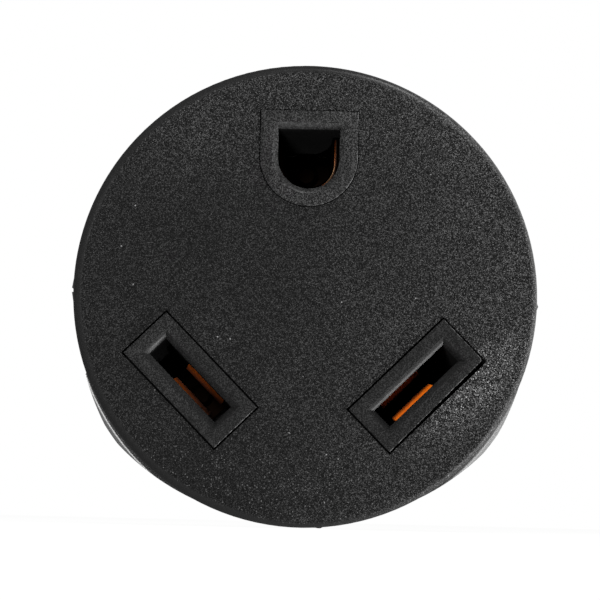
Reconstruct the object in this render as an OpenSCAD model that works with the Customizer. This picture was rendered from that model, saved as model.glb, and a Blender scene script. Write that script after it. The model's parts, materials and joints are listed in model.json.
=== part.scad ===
// Round moulded plug adapter with a travel-trailer socket face and a household plug behind.
// Each module works in the face's own frame: x to the right, y up, z out towards the mating plug,
// with z = 0 on the rear face that seats on the outlet. upright() then turns z to the front.
// Depths are measured from the socket face inwards.

/* [Socket face] */
// Diameter of the round socket face
face_d = 54; // [53:0.5:58]
// Rounding of the rim of the face
rim_r = 1; // [0.4:0.1:1.2]
// Depth of the round collar behind the face
collar_depth = 9; // [8:0.5:11]
// Rounding of the collar's back edge
collar_back_r = 0.4; // [0.3:0.1:0.8]
// Thickness of the jacket in front of the contact carrier
face_wall = 2.5; // [1.8:0.1:3]
// How far the carrier's lands stand out of the face
land_proud = 0.25; // [0.1:0.05:0.5]
// Gap between a slanted land and its window in the jacket
land_gap = 0.22; // [0.1:0.02:0.4]
// Gap between the ground land and its window
ground_land_gap = 0.1; // [0.06:0.02:0.3]
// Width of the land around each opening
land_margin = 2.1; // [1.8:0.1:2.4]
// Corner rounding of the two slanted lands
land_corner_r = 0.1; // [0.05:0.05:0.5]
// Bevel around each opening
lead_in = 0.65; // [0.3:0.05:0.9]

/* [Openings] */
// Sideways distance of each slot's centre from the middle
slot_x = 13.1; // [12.5:0.1:13.6]
// Distance of the slots' centres below the middle
slot_drop = 10.3; // [9.8:0.1:10.8]
// Slant of the slots
slot_angle = 45; // [40:1:50]
// Length of a slot
slot_len = 11; // [10.4:0.1:11.6]
// Width of a slot
slot_w = 2.6; // [2.4:0.1:3]
// Depth that a mating blade can go in
slot_depth = 18.5; // [17.5:0.5:19.5]
// Height of the ground opening's arc centre above the middle
ground_y = 16; // [15.6:0.1:16.3]
// Width of the ground opening
ground_w = 7.2; // [6.8:0.1:7.6]
// Height of the ground opening's flat top above its arc centre
ground_rise = 3.4; // [3.2:0.1:3.6]

/* [Grip] */
// Depth of the moulded body from face to rear
body_depth = 40; // [39:0.5:46]
// Radius of the grip's top and bottom arcs
grip_r = 31; // [30.5:0.1:32]
// Height of the grip over its arcs
grip_h = 53.2; // [52.6:0.1:53.8]
// Draft of the grip towards the rear, in degrees
grip_draft = 2; // [1:0.5:3]
// Rounding where the grip swells out behind the collar
grip_front_r = 1.2; // [0.8:0.1:1.6]
// Rounding of the grip's rear edge
grip_back_r = 4; // [2:0.5:5]
// Diameter over the grip's four lips
lip_d = 56.1; // [55.6:0.1:57]
// Radius of the side arcs that the lips run out on
side_r = 33; // [32:0.5:36]
// Width over the side arcs
side_w = 54.5; // [54:0.1:55.2]
// Width between the deepest points of the two finger scoops
waist_w = 45.6; // [45:0.1:46.6]
// Radius of each finger scoop
scoop_r = 16; // [15:0.5:18]
// Number of grip bars in each scoop
bar_count = 5; // [3:1:6]
// Distance from one grip bar to the next
bar_pitch = 4.4; // [3.8:0.1:4.6]
// Width of a grip bar
bar_w = 1.8; // [1.2:0.1:2.4]
// Height of a grip bar over the scoop
bar_h = 0.7; // [0.4:0.1:0.9]
// Length of a grip bar
bar_len = 14; // [11:1:15]

/* [Carrier] */
// Diameter of the carrier's front flange
flange_d = 47; // [46.4:0.1:48.4]
// Thickness of the carrier's front flange
flange_t = 4; // [3:0.5:5]
// Diameter of the carrier behind its flange
carrier_d = 43.6; // [43:0.1:44.4]
// Width across the carrier's two side flats
carrier_flats = 39.6; // [39.2:0.1:40]
// Gap around the inner parts, left by the jacket's shrinkage
mould_gap = 0.1; // [0.05:0.05:0.15]
// Diameter of the two posts that hold the cover
post_d = 4; // [3:0.5:4.5]
// Largest diameter of a post's formed head
post_head_d = 5.6; // [5:0.1:6]
// Height of a post's formed head
post_head_h = 1; // [0.6:0.1:1.4]
// Sideways place of the posts
post_x = 13; // [12:0.5:14]
// Height of the posts above the middle
post_y = 8; // [7:0.5:9]

/* [Contacts] */
// Thickness of the spring sheet
sheet = 0.6; // [0.5:0.05:0.7]
// Width of a blade contact's leaf
leaf_w = 6; // [5:0.2:6.6]
// Shift of the contacts along the slots towards the bottom
leaf_shift = 1.15; // [0.8:0.05:1.4]
// Depth of the leaves' tips behind the face
tip_depth = 4.6; // [4.3:0.1:5.2]
// Depth of the narrowest place between two leaves
throat_depth = 8.5; // [7.5:0.1:9.5]
// Gap between the leaves at their narrowest
throat_gap = 1.5; // [1.2:0.1:1.8]
// Gap between the leaves at their tips
tip_gap = 2.9; // [2.6:0.1:3.1]
// Gap between the leaves at their roots
root_gap = 4; // [3.9:0.1:4.4]
// Height of the fold line above the floor of the clip
fold_h = 1.6; // [1.4:0.1:2]
// Angle that a leaf opens when a blade is pushed in
leaf_travel = 2.5; // [1.5:0.1:3]
// Radius of the rolled root that a leaf bends about
fold_r = 0.36; // [0.33:0.01:0.4]
// Running gap at the fold line
fold_gap = 0.05; // [0.03:0.01:0.08]
// Inner radius of the ground contact
ground_in_r = 2.85; // [2.7:0.05:3]
// Height of the ground leaves above the arc centre
ground_leaf_rise = 3; // [2.6:0.1:3.1]
// Slit between the two ground leaves below
ground_slit = 0.8; // [0.6:0.1:1.2]
// How far the ground clip's floor reaches below the arc centre
ground_floor_drop = 2; // [1.8:0.1:2.4]
// Gap kept around moving leaves and seated metal parts
chamber_gap = 0.3; // [0.2:0.05:0.35]

/* [Straps and rivets] */
// Thickness of a strap
strap_t = 1; // [0.8:0.1:1.2]
// Width of a strap
strap_w = 6; // [5.4:0.1:6.4]
// Shank diameter of a rivet
rivet_d = 1.8; // [1.5:0.1:2]
// Head diameter of a rivet
rivet_head_d = 3; // [2.6:0.1:3.2]
// Head height of a rivet
rivet_head_h = 0.7; // [0.5:0.1:0.8]
// Free height kept over each rivet head
head_room = 0.3; // [0.2:0.05:0.4]
// Height of the ground clip's rivet above the arc centre
ground_rivet_rise = 0.5; // [0.2:0.1:0.8]

/* [Plug] */
// Distance between the centres of the two blades
blade_spacing = 12.7; // [12.5:0.1:12.9]
// Width of a blade
blade_w = 6.35; // [6.25:0.05:6.45]
// Thickness of a blade
blade_t = 1.52; // [1.4:0.02:1.6]
// Length of a blade outside the body
blade_len = 17.5; // [15.9:0.1:18.2]
// Diameter of the hole in a blade
blade_hole_d = 3.2; // [3:0.1:3.6]
// Distance of the hole from the rear face
blade_hole_out = 11.7; // [11:0.1:12]
// Width bevel of a blade's tip
blade_tip_w = 1.3; // [0.8:0.1:1.8]
// Thickness bevel of a blade's tip
blade_tip_t = 0.4; // [0.2:0.1:0.5]
// Length of a blade's tip bevel
blade_tip_len = 1.4; // [1:0.1:2]
// Distance from a blade's centre to its foot's rivet
foot_reach = 3.6; // [3.4:0.1:4]
// Foot beyond its rivet
foot_end = 2.6; // [2.2:0.1:3]
// Distance of the blades below the middle
blade_drop = 5.5; // [5:0.1:6]
// Diameter of the ground pin
pin_d = 4.75; // [4.7:0.01:4.8]
// Length of the ground pin outside the body
pin_len = 20.6; // [19:0.1:21.4]
// Height of the ground pin above the blades' centre line
pin_rise = 11.9; // [11.8:0.05:12]
// Rounding of the ground pin's tip
pin_tip_r = 1.8; // [1:0.1:2.2]
// Diameter of the ground pin's stem inside the body
pin_stem_d = 5.4; // [5:0.1:5.8]
// Diameter of the ground pin's collar
pin_collar_d = 7; // [6.4:0.1:7.6]
// Thickness of the ground pin's collar
pin_collar_t = 1.2; // [1:0.1:1.5]
// Diameter of the ground pin's headed shank
pin_shank_d = 3; // [2.4:0.1:3.2]
// Diameter of the head formed on the shank
pin_head_d = 4.2; // [3.8:0.1:4.4]
// Width of the bridge's rear face
bridge_w = 22; // [21:0.5:24]
// Height of the bridge's rear face
bridge_h = 24; // [23:0.5:26]
// Corner rounding of the bridge
bridge_r = 4; // [2:0.5:5]
// How far the bridge's foot stands out all round
bridge_step = 2.5; // [1.5:0.5:3]
// Thickness of the bridge's foot
bridge_foot_t = 4; // [3:0.5:5]
// Gap between the prongs and the holes that they pass through
prong_gap = 0.05; // [0.02:0.01:0.1]

/* [Hidden] */
$fn = 64;
// Overrun of a cutting shape past the face it cuts
cut = 1;
face_r = face_d / 2;
land_z = body_depth + land_proud;
clip_floor = slot_depth + head_room + rivet_head_h;
strap_top = clip_floor + sheet;
carrier_back = strap_top + strap_t;
cover_t = blade_t + rivet_head_h + head_room;
cover_back = carrier_back + cover_t;
fold_depth = clip_floor - fold_h;
root_mid = (root_gap + sheet) / 2;
throat_mid = (throat_gap + sheet) / 2;
tip_mid = (tip_gap + sheet) / 2;
leaf_swing = (fold_depth - tip_depth) * sin(leaf_travel);
chamber_half = max(tip_mid + leaf_swing, root_mid) + sheet / 2 + chamber_gap;
chamber_top = tip_depth - chamber_gap;
ground_mid = ground_in_r + sheet / 2;
ground_chamber_half = ground_mid + sheet / 2 + leaf_swing + chamber_gap;
pin_y = pin_rise - blade_drop;
blade_x = blade_spacing / 2;
foot_x = blade_x + foot_reach;
grip_offset = grip_r - grip_h / 2;
side_offset = side_r - side_w / 2;
scoop_x = waist_w / 2 + scoop_r;
// Straight part of the collar's wall kept between the lips' start and its back rounding
lip_clear = 0.2;
lip_inset = collar_back_r + lip_clear;
grip_front = collar_depth - lip_inset + grip_front_r;
// Length of the grip inside the collar
grip_root = collar_depth / 3;

// Height in the face's frame of a plane at a depth behind the face
function at(depth) = body_depth - depth;
function unit(v) = v / norm(v);
function side(a, b) = let (u = unit(b - a)) [-u[1], u[0]];
function mitre(a, b, c) = let (n = side(a, b), m = unit(n + side(b, c))) m / (m * n);
function edge(p, i) =
    i == 0 ? side(p[0], p[1])
    : i == len(p) - 1 ? side(p[i - 1], p[i])
    : mitre(p[i - 1], p[i], p[i + 1]);
// Outline of a sheet of thickness t bent along the points p
function strip(p, t) = concat(
    [for (i = [0:len(p) - 1]) p[i] + edge(p, i) * t / 2],
    [for (i = [len(p) - 1:-1:0]) p[i] - edge(p, i) * t / 2]
);
// Place of a point given along and across the left slot, measured from the clip's centre
function from_clip(along, across) =
    let (s = leaf_shift + along, c = cos(slot_angle), n = sin(slot_angle))
    [s * c + across * n - slot_x, across * c - s * n - slot_drop];

// Turns the face's frame upright, with the face to the front and the prongs to the back
module upright() rotate([90, 0, 0]) children();
// Extrudes a profile drawn across and up, along the slot
module along_slot(length) rotate([90, 0, 90]) linear_extrude(length, center = true) children();
module at_slot() translate([-slot_x, -slot_drop]) rotate(-slot_angle) children();
module at_clip() at_slot() translate([leaf_shift, 0]) children();
module both_sides() {
    children();
    mirror([1, 0, 0]) children();
}
// Block from one depth to another
module between(front, back) translate([0, 0, at(back)]) linear_extrude(back - front) children();

module rounded_rect(w, h, r) {
    square([w - 2 * r, h], center = true);
    square([w, h - 2 * r], center = true);
    for (x = [-1, 1], y = [-1, 1]) translate([x * (w / 2 - r), y * (h / 2 - r)]) circle(r);
}
// Shape with a round bottom and a flat top, about the arc's centre
module u_shape(half_w, rise) intersection() {
    union() {
        circle(half_w);
        translate([-half_w, 0]) square([2 * half_w, rise]);
    }
    translate([-half_w - cut, -half_w - cut]) square([2 * (half_w + cut), half_w + cut + rise]);
}
// Rectangular funnel below z = 0 that opens by c at 45 degrees
module slot_funnel(l, w, c) {
    intersection() {
        rotate([90, 0, 0]) linear_extrude(w + 4 * c + cut, center = true) funnel_side(l / 2, c);
        rotate([90, 0, 90]) linear_extrude(l + 4 * c + cut, center = true) funnel_side(w / 2, c);
    }
}
module funnel_side(half, c) polygon([[-half, -c], [half, -c], [half + 2 * c, c], [-half - 2 * c, c]]);
// Funnel of the same kind for the U shape
module u_funnel(half_w, rise, c) intersection() {
    union() {
        translate([0, 0, -c]) cylinder(r1 = half_w, r2 = half_w + 2 * c, h = 2 * c);
        rotate([-90, 0, 0]) mirror([0, 1, 0]) linear_extrude(rise + 2 * c) funnel_side(half_w, c);
    }
    rotate([90, 0, 90]) linear_extrude(2 * half_w + 4 * c + cut, center = true) polygon([
        [-half_w - 2 * c - cut, -c], [rise, -c], [rise + 2 * c, c], [-half_w - 2 * c - cut, c]
    ]);
}
// Flat link with round ends
module link(p, q, w) {
    d = q - p;
    translate(p) circle(d = w);
    translate(q) circle(d = w);
    translate(p) rotate(atan2(d[1], d[0])) translate([0, -w / 2]) square([norm(d), w]);
}
// Rivet from one depth to another, with a head beyond each
module rivet(front, back) {
    translate([0, 0, at(back)]) cylinder(d = rivet_d, h = back - front);
    translate([0, 0, at(front)]) rivet_head();
    translate([0, 0, at(back)]) mirror([0, 0, 1]) rivet_head();
}
module rivet_head() cylinder(d1 = rivet_head_d, d2 = rivet_d, h = rivet_head_h);

// Windows, lands and openings of the face, as outlines about the middle
module slot_land(grow) at_slot() rounded_rect(
    slot_len + 2 * (land_margin + grow), slot_w + 2 * (land_margin + grow), land_corner_r);
module ground_land(grow) translate([0, ground_y])
    u_shape(ground_w / 2 + land_margin + grow, ground_rise + land_margin + grow);
module lands(slot_grow, ground_grow) {
    both_sides() slot_land(slot_grow);
    ground_land(ground_grow);
}
module carrier_outline(grow) intersection() {
    circle(d = carrier_d + 2 * grow);
    square([carrier_flats + 2 * grow, carrier_d + 2 * grow + cut], center = true);
}
module bridge_outline(grow) rounded_rect(bridge_w + 2 * grow, bridge_h + 2 * grow, bridge_r + grow);

// Jacket: round collar, grip arcs, finger scoops and the hollow for the inner parts
module collar_profile() {
    back = at(collar_depth);
    square([face_r - rim_r, body_depth]);
    translate([0, back + collar_back_r]) square([face_r, collar_depth - collar_back_r - rim_r]);
    translate([face_r - rim_r, body_depth - rim_r]) circle(rim_r);
    translate([face_r - collar_back_r, back + collar_back_r]) circle(collar_back_r);
}
module collar() intersection() {
    rotate_extrude() collar_profile();
    between(0, collar_depth) square(2 * face_d, center = true);
}
// Half profile of the drafted top and bottom arcs: radius outwards, height from the rear face
module arc_profile() {
    back = at(collar_depth);
    slope = tan(grip_draft);
    rear_r = grip_r - (back - grip_back_r) * slope - grip_back_r / cos(grip_draft);
    tangent = [rear_r + grip_back_r * cos(grip_draft), grip_back_r * (1 - sin(grip_draft))];
    polygon([
        [0, 0], [rear_r, 0], [rear_r, grip_back_r], tangent,
        [grip_r + grip_root * slope, back + grip_root], [0, back + grip_root]
    ]);
    translate([rear_r, grip_back_r]) circle(grip_back_r);
}
// Half profile of the round core that trims the arcs to the lips, rounded behind the collar
module lip_profile() {
    r = lip_d / 2;
    start = at(grip_front);
    inner = r - grip_front_r;
    polygon([
        [0, -cut], [r - (start + cut) * tan(grip_draft), -cut], [r, start],
        [inner, start], [inner, start + grip_front_r], [0, start + grip_front_r]
    ]);
    intersection() {
        translate([inner, start]) circle(grip_front_r);
        translate([0, start]) square([r, grip_front_r]);
    }
}
module grip_arcs() intersection() {
    translate([0, grip_offset]) rotate_extrude() arc_profile();
    translate([0, -grip_offset]) rotate_extrude() arc_profile();
    rotate_extrude() lip_profile();
    translate([side_offset, 0, -2 * cut]) cylinder(r = side_r, h = body_depth);
    translate([-side_offset, 0, -2 * cut]) cylinder(r = side_r, h = body_depth);
}
// Cutter for the right-hand scoop, flared so that the scoop's rear edge is round
module scoop_profile() difference() {
    translate([0, -cut]) square([scoop_r + grip_back_r, body_depth + cut]);
    translate([scoop_r, grip_back_r]) square([grip_back_r + cut, body_depth]);
    translate([scoop_r + grip_back_r, grip_back_r]) circle(grip_back_r);
}
module scoops() both_sides() translate([scoop_x, 0]) rotate_extrude() scoop_profile();
module grip_bars() {
    first = (grip_front + body_depth - (bar_count - 1) * bar_pitch) / 2;
    both_sides() intersection() {
        translate([scoop_x, 0]) difference() {
            cylinder(r = scoop_r + cut, h = body_depth);
            translate([0, 0, -cut]) cylinder(r = scoop_r - bar_h, h = body_depth + 2 * cut);
        }
        for (i = [0:bar_count - 1]) translate([0, 0, at(first + i * bar_pitch) - bar_w / 2])
            linear_extrude(bar_w) translate([0, -bar_len / 2]) square([face_r, bar_len]);
    }
}
module jacket_form() {
    collar();
    difference() {
        grip_arcs();
        scoops();
    }
    grip_bars();
}
module jacket_hollow() {
    between(-cut, face_wall + cut) lands(land_gap, ground_land_gap);
    between(face_wall, face_wall + flange_t + mould_gap) circle(d = flange_d + 2 * mould_gap);
    between(face_wall, cover_back) carrier_outline(mould_gap);
    between(cover_back - cut, cover_back + bridge_foot_t) bridge_outline(bridge_step + mould_gap);
    between(cover_back, body_depth + cut) bridge_outline(mould_gap);
}
module jacket() color("#2c2c2e") upright() difference() {
    jacket_form();
    jacket_hollow();
}

// Contact carrier: flange, lands, openings, contact chambers and strap seats
module slot_opening() {
    at_slot() {
        translate([0, 0, at(clip_floor)]) linear_extrude(clip_floor + land_proud + cut)
            square([slot_len, slot_w], center = true);
        translate([0, 0, land_z]) slot_funnel(slot_len, slot_w, lead_in);
    }
    at_clip() translate([0, 0, at(strap_top) - cut]) linear_extrude(strap_top - chamber_top + cut)
        square([leaf_w + 2 * chamber_gap, 2 * chamber_half], center = true);
}
module ground_opening() translate([0, ground_y]) {
    translate([0, 0, at(clip_floor)]) linear_extrude(clip_floor + land_proud + cut)
        u_shape(ground_w / 2, ground_rise);
    translate([0, 0, land_z]) u_funnel(ground_w / 2, ground_rise, lead_in);
    translate([0, 0, at(strap_top) - cut]) linear_extrude(strap_top - chamber_top + cut)
        u_shape(ground_chamber_half, ground_leaf_rise + chamber_gap);
}
module line_link(grow) link(from_clip(0, 0), [-foot_x, -blade_drop], strap_w + 2 * grow);
module ground_link(grow) link([0, ground_y + ground_rivet_rise], [0, pin_y], strap_w + 2 * grow);
module contact_carrier() color("#3a3a3c") upright() {
    difference() {
        union() {
            between(face_wall, face_wall + flange_t) circle(d = flange_d);
            between(face_wall, carrier_back) carrier_outline(0);
            between(-land_proud, face_wall) lands(0, 0);
        }
        both_sides() {
            slot_opening();
            between(strap_top, carrier_back + cut) line_link(chamber_gap);
            translate([-foot_x, -blade_drop, at(strap_top) - cut])
                cylinder(d = rivet_head_d + 2 * chamber_gap, h = rivet_head_h + head_room + cut);
        }
        ground_opening();
        between(strap_top, carrier_back + cut) ground_link(chamber_gap);
        translate([0, pin_y, at(strap_top) - cut])
            cylinder(d = pin_head_d + 2 * chamber_gap, h = rivet_head_h + head_room + cut);
    }
    cover_posts();
}
module cover_posts() both_sides() translate([post_x, post_y, at(cover_back)]) {
    cylinder(d = post_d, h = cover_t);
    cylinder(d1 = post_head_d, d2 = post_d, h = post_head_h);
}

// Cover behind the carrier: windows for the feet, room for the rivets, holes for the pin and posts
module carrier_cover() color("#b9b2a2") upright() difference() {
    between(carrier_back, cover_back) carrier_outline(0);
    both_sides() {
        between(carrier_back - cut, cover_back + cut)
            translate([-foot_x - foot_end - chamber_gap, -blade_drop - blade_w / 2 - chamber_gap])
                square([foot_reach + foot_end + blade_t / 2 + 2 * chamber_gap, blade_w + 2 * chamber_gap]);
        translate([post_x, post_y, at(cover_back) - cut])
            cylinder(d = post_d + 2 * prong_gap, h = cover_t + 2 * cut);
        translate([post_x, post_y, at(cover_back)])
            cylinder(d1 = post_head_d + 2 * prong_gap, d2 = post_d + 2 * prong_gap, h = post_head_h);
        translate(concat(from_clip(0, 0), at(carrier_back) - rivet_head_h - head_room))
            cylinder(d = rivet_head_d + 2 * chamber_gap, h = rivet_head_h + head_room + cut);
    }
    translate([0, ground_y + ground_rivet_rise, at(carrier_back) - rivet_head_h - head_room])
        cylinder(d = rivet_head_d + 2 * chamber_gap, h = rivet_head_h + head_room + cut);
    translate([0, pin_y, at(carrier_back) - pin_collar_t])
        cylinder(d = pin_collar_d + 2 * prong_gap, h = pin_collar_t + cut);
    translate([0, pin_y, at(cover_back) - cut])
        cylinder(d = pin_stem_d + 2 * prong_gap, h = cover_t + 2 * cut);
}

// Bridge that holds the prongs, flush with the rear face
module plug_bridge() color("#333335") upright() difference() {
    union() {
        between(cover_back, cover_back + bridge_foot_t) bridge_outline(bridge_step);
        between(cover_back, body_depth) bridge_outline(0);
    }
    between(cover_back - cut, body_depth + cut) {
        both_sides() translate([blade_x, -blade_drop])
            square([blade_t + 2 * prong_gap, blade_w + 2 * prong_gap], center = true);
        translate([0, pin_y]) circle(d = pin_stem_d + 2 * prong_gap);
    }
}

// Blade contacts, drawn for the left slot
module clip() at_clip() difference() {
    along_slot(leaf_w) difference() {
        union() {
            translate([-root_mid - sheet / 2, at(strap_top)]) square([2 * root_mid + sheet, sheet]);
            for (t = [-1, 1]) translate([t * root_mid - sheet / 2, at(strap_top)])
                square([sheet, strap_top - fold_depth]);
        }
        for (t = [-1, 1]) translate([t * root_mid, at(fold_depth)]) circle(fold_r + fold_gap);
    }
    translate([0, 0, at(strap_top) - cut]) cylinder(d = rivet_d, h = sheet + 2 * cut);
}
module leaf(across) at_clip() mirror([0, across < 0 ? 1 : 0, 0]) {
    along_slot(leaf_w) polygon(strip([
        [root_mid, at(fold_depth)], [throat_mid, at(throat_depth)], [tip_mid, at(tip_depth)]
    ], sheet));
    along_slot(leaf_w) translate([root_mid, at(fold_depth)]) circle(fold_r);
}
module strap() between(strap_top, carrier_back) difference() {
    line_link(0);
    translate(from_clip(0, 0)) circle(d = rivet_d);
    translate([-foot_x, -blade_drop]) circle(d = rivet_d);
}
// Blade outline seen from the side, from the foot at the front to the bevelled tip
module blade_side() {
    top = at(carrier_back);
    outer = blade_t / 2;
    difference() {
        polygon([
            [outer, top], [-foot_reach - foot_end, top], [-foot_reach - foot_end, top - blade_t],
            [-outer, top - blade_t], [-outer, blade_tip_len - blade_len],
            [blade_tip_t - outer, -blade_len], [outer - blade_tip_t, -blade_len],
            [outer, blade_tip_len - blade_len]
        ]);
        difference() {
            translate([-outer, top - blade_t]) square(blade_t + cut);
            translate([-outer, top - blade_t]) circle(blade_t);
        }
    }
}
module blade_front() polygon([
    [-blade_w / 2, body_depth], [-blade_w / 2, blade_tip_len - blade_len],
    [blade_tip_w - blade_w / 2, -blade_len], [blade_w / 2 - blade_tip_w, -blade_len],
    [blade_w / 2, blade_tip_len - blade_len], [blade_w / 2, body_depth]
]);
module blade() translate([-blade_x, -blade_drop]) difference() {
    intersection() {
        rotate([90, 0, 0]) linear_extrude(blade_w, center = true) blade_side();
        along_slot(2 * foot_x) blade_front();
    }
    translate([0, 0, -blade_hole_out]) rotate([0, 90, 0])
        cylinder(d = blade_hole_d, h = blade_t + 2 * cut, center = true);
    translate([-foot_reach, 0, at(carrier_back) - blade_t - cut])
        cylinder(d = rivet_d, h = blade_t + 2 * cut);
}

module line_clip() color("#b8672a") upright() clip();
module line_leaf_inner() color("#c9742f") upright() leaf(1);
module line_leaf_outer() color("#c9742f") upright() leaf(-1);
module line_strap() color("#c8a24a") upright() strap();
module line_blade() color("#d3b25a") upright() blade();
module neutral_clip() color("#b8672a") upright() mirror([1, 0, 0]) clip();
module neutral_leaf_inner() color("#c9742f") upright() mirror([1, 0, 0]) leaf(1);
module neutral_leaf_outer() color("#c9742f") upright() mirror([1, 0, 0]) leaf(-1);
module neutral_strap() color("#c8a24a") upright() mirror([1, 0, 0]) strap();
module neutral_blade() color("#d3b25a") upright() mirror([1, 0, 0]) blade();

// Ground contact: a U-shaped sleeve in two halves on a flat floor
module ground_clip() color("#b8672a") upright() translate([0, ground_y]) difference() {
    union() {
        between(clip_floor, strap_top) translate([-ground_mid - sheet / 2, -ground_floor_drop])
            square([2 * ground_mid + sheet, ground_floor_drop + ground_leaf_rise]);
        both_sides() between(fold_depth, strap_top) translate([ground_mid - sheet / 2, 0])
            square([sheet, ground_leaf_rise]);
    }
    both_sides() translate([ground_mid, -cut, at(fold_depth)]) rotate([-90, 0, 0])
        cylinder(r = fold_r + fold_gap, h = ground_leaf_rise + 2 * cut);
    translate([0, ground_rivet_rise, at(strap_top) - cut]) cylinder(d = rivet_d, h = sheet + 2 * cut);
}
module ground_half() translate([0, ground_y]) difference() {
    union() {
        between(tip_depth, fold_depth) translate([ground_in_r, 0]) square([sheet, ground_leaf_rise]);
        translate([ground_mid, 0, at(fold_depth)]) rotate([-90, 0, 0])
            cylinder(r = fold_r, h = ground_leaf_rise);
        between(tip_depth, fold_depth - sheet) intersection() {
            difference() {
                circle(ground_in_r + sheet);
                circle(ground_in_r);
            }
            translate([ground_slit / 2, -face_r]) square(face_r);
        }
    }
    translate([0, 0, at(tip_depth)]) u_funnel(ground_in_r, ground_leaf_rise + cut, sheet / 2);
}
module ground_leaf_right() color("#c9742f") upright() ground_half();
module ground_leaf_left() color("#c9742f") upright() mirror([1, 0, 0]) ground_half();
module ground_strap() color("#c8a24a") upright() between(strap_top, carrier_back) difference() {
    ground_link(0);
    translate([0, ground_y + ground_rivet_rise]) circle(d = rivet_d);
    translate([0, pin_y]) circle(d = pin_shank_d);
}
module pin_profile() {
    seat = at(carrier_back);
    square([pin_stem_d / 2, seat]);
    translate([0, pin_tip_r - pin_len]) square([pin_d / 2, pin_len - pin_tip_r]);
    translate([0, -pin_len]) square([pin_d / 2 - pin_tip_r, pin_len]);
    translate([pin_d / 2 - pin_tip_r, pin_tip_r - pin_len]) circle(pin_tip_r);
    translate([0, seat - pin_collar_t]) square([pin_collar_d / 2, pin_collar_t]);
    translate([0, seat]) square([pin_shank_d / 2, strap_t]);
    polygon([
        [0, seat + strap_t], [pin_head_d / 2, seat + strap_t],
        [pin_shank_d / 2, seat + strap_t + rivet_head_h], [0, seat + strap_t + rivet_head_h]
    ]);
}
module ground_pin() color("#d3b25a") upright() translate([0, pin_y]) rotate_extrude() intersection() {
    pin_profile();
    translate([0, -pin_len]) square([face_r, pin_len + body_depth]);
}

module clip_rivets() color("#d8c98c") upright() {
    both_sides() translate(concat(from_clip(0, 0), 0)) rivet(clip_floor, carrier_back);
    translate([0, ground_y + ground_rivet_rise]) rivet(clip_floor, carrier_back);
}
module blade_rivets() color("#d8c98c") upright() both_sides()
    translate([-foot_x, -blade_drop]) rivet(strap_top, carrier_back + blade_t);

jacket();
contact_carrier();
carrier_cover();
plug_bridge();
line_clip();
line_leaf_inner();
line_leaf_outer();
line_strap();
line_blade();
neutral_clip();
neutral_leaf_inner();
neutral_leaf_outer();
neutral_strap();
neutral_blade();
ground_clip();
ground_leaf_left();
ground_leaf_right();
ground_strap();
ground_pin();
clip_rivets();
blade_rivets();
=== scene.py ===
# %% [markdown]
# A round plug adapter, dressed for a product picture.
# The solids come from the CAD frame in metres, with the socket face looking along -Y and the prongs along +Y.
# This lesson leaves those solids where they are, rounds the edges that a mould or a press tool would round,
# and gives every piece a finish that is worked out by nodes.

# %% Load the frame
import json
import math

import bmesh
import bpy
from mathutils import Matrix, Vector


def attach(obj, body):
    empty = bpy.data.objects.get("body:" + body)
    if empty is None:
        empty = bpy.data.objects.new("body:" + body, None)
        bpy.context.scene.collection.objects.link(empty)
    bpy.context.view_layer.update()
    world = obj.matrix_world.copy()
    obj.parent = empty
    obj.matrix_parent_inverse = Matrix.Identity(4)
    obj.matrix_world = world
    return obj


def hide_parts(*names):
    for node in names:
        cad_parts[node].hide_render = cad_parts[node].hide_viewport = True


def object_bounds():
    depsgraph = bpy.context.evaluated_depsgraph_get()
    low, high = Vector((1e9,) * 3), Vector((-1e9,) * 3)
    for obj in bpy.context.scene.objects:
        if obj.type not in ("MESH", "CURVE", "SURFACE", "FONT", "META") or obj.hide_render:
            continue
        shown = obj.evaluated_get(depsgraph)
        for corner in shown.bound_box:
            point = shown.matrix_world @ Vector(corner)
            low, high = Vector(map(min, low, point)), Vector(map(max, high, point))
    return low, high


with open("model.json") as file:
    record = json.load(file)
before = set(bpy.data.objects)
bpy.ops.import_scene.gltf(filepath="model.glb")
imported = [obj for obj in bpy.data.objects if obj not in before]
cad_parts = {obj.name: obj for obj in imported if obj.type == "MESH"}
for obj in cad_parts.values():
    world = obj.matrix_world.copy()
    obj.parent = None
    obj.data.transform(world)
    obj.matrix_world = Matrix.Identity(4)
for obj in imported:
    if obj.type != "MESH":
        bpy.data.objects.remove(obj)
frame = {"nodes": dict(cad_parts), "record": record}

cad_box = [list(corner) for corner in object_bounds()]
MM = 0.001
scene = bpy.context.scene
scene.view_settings.view_transform = "Standard"

# %% [markdown]
# The camera comes first, because everything is judged through it.
# The picture was taken almost square to the face, from a little below it, with the adapter turned slightly.
# A camera can be aimed with a constraint, but three axes worked out one by one also give the roll,
# so the camera's matrix is filled with its own right, up and backward directions.

# %% Where the camera looks
PICTURE_PX = 600
PX_PER_MM = 8.63
CAMERA_LEFT = math.radians(0.55)
CAMERA_BELOW = math.radians(5.2)
CAMERA_ROLL = math.radians(1.4)
FACE_IN_PICTURE = (305.6, 293.9)

face_middle = Vector((0, cad_box[0][1], 0))
backward = Vector((
    -math.sin(CAMERA_LEFT) * math.cos(CAMERA_BELOW),
    -math.cos(CAMERA_LEFT) * math.cos(CAMERA_BELOW),
    -math.sin(CAMERA_BELOW),
))
level_right = Vector((0, 0, 1)).cross(backward).normalized()
level_up = backward.cross(level_right)
right = level_right * math.cos(CAMERA_ROLL) + level_up * math.sin(CAMERA_ROLL)
up = level_up * math.cos(CAMERA_ROLL) - level_right * math.sin(CAMERA_ROLL)
aim = face_middle.copy()
aim -= right * (FACE_IN_PICTURE[0] - PICTURE_PX / 2) / PX_PER_MM * MM
aim += up * (FACE_IN_PICTURE[1] - PICTURE_PX / 2) / PX_PER_MM * MM
print("aim", [round(part / MM, 2) for part in aim], "mm")

# %% [markdown]
# The lens follows from the distance. A long lens from far away flattens the collar, and from near, the collar
# hides more of the grip behind it. The distance at which the two lower lips just show past the collar
# was chosen, and the lens then gives the face its size in the picture.

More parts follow.
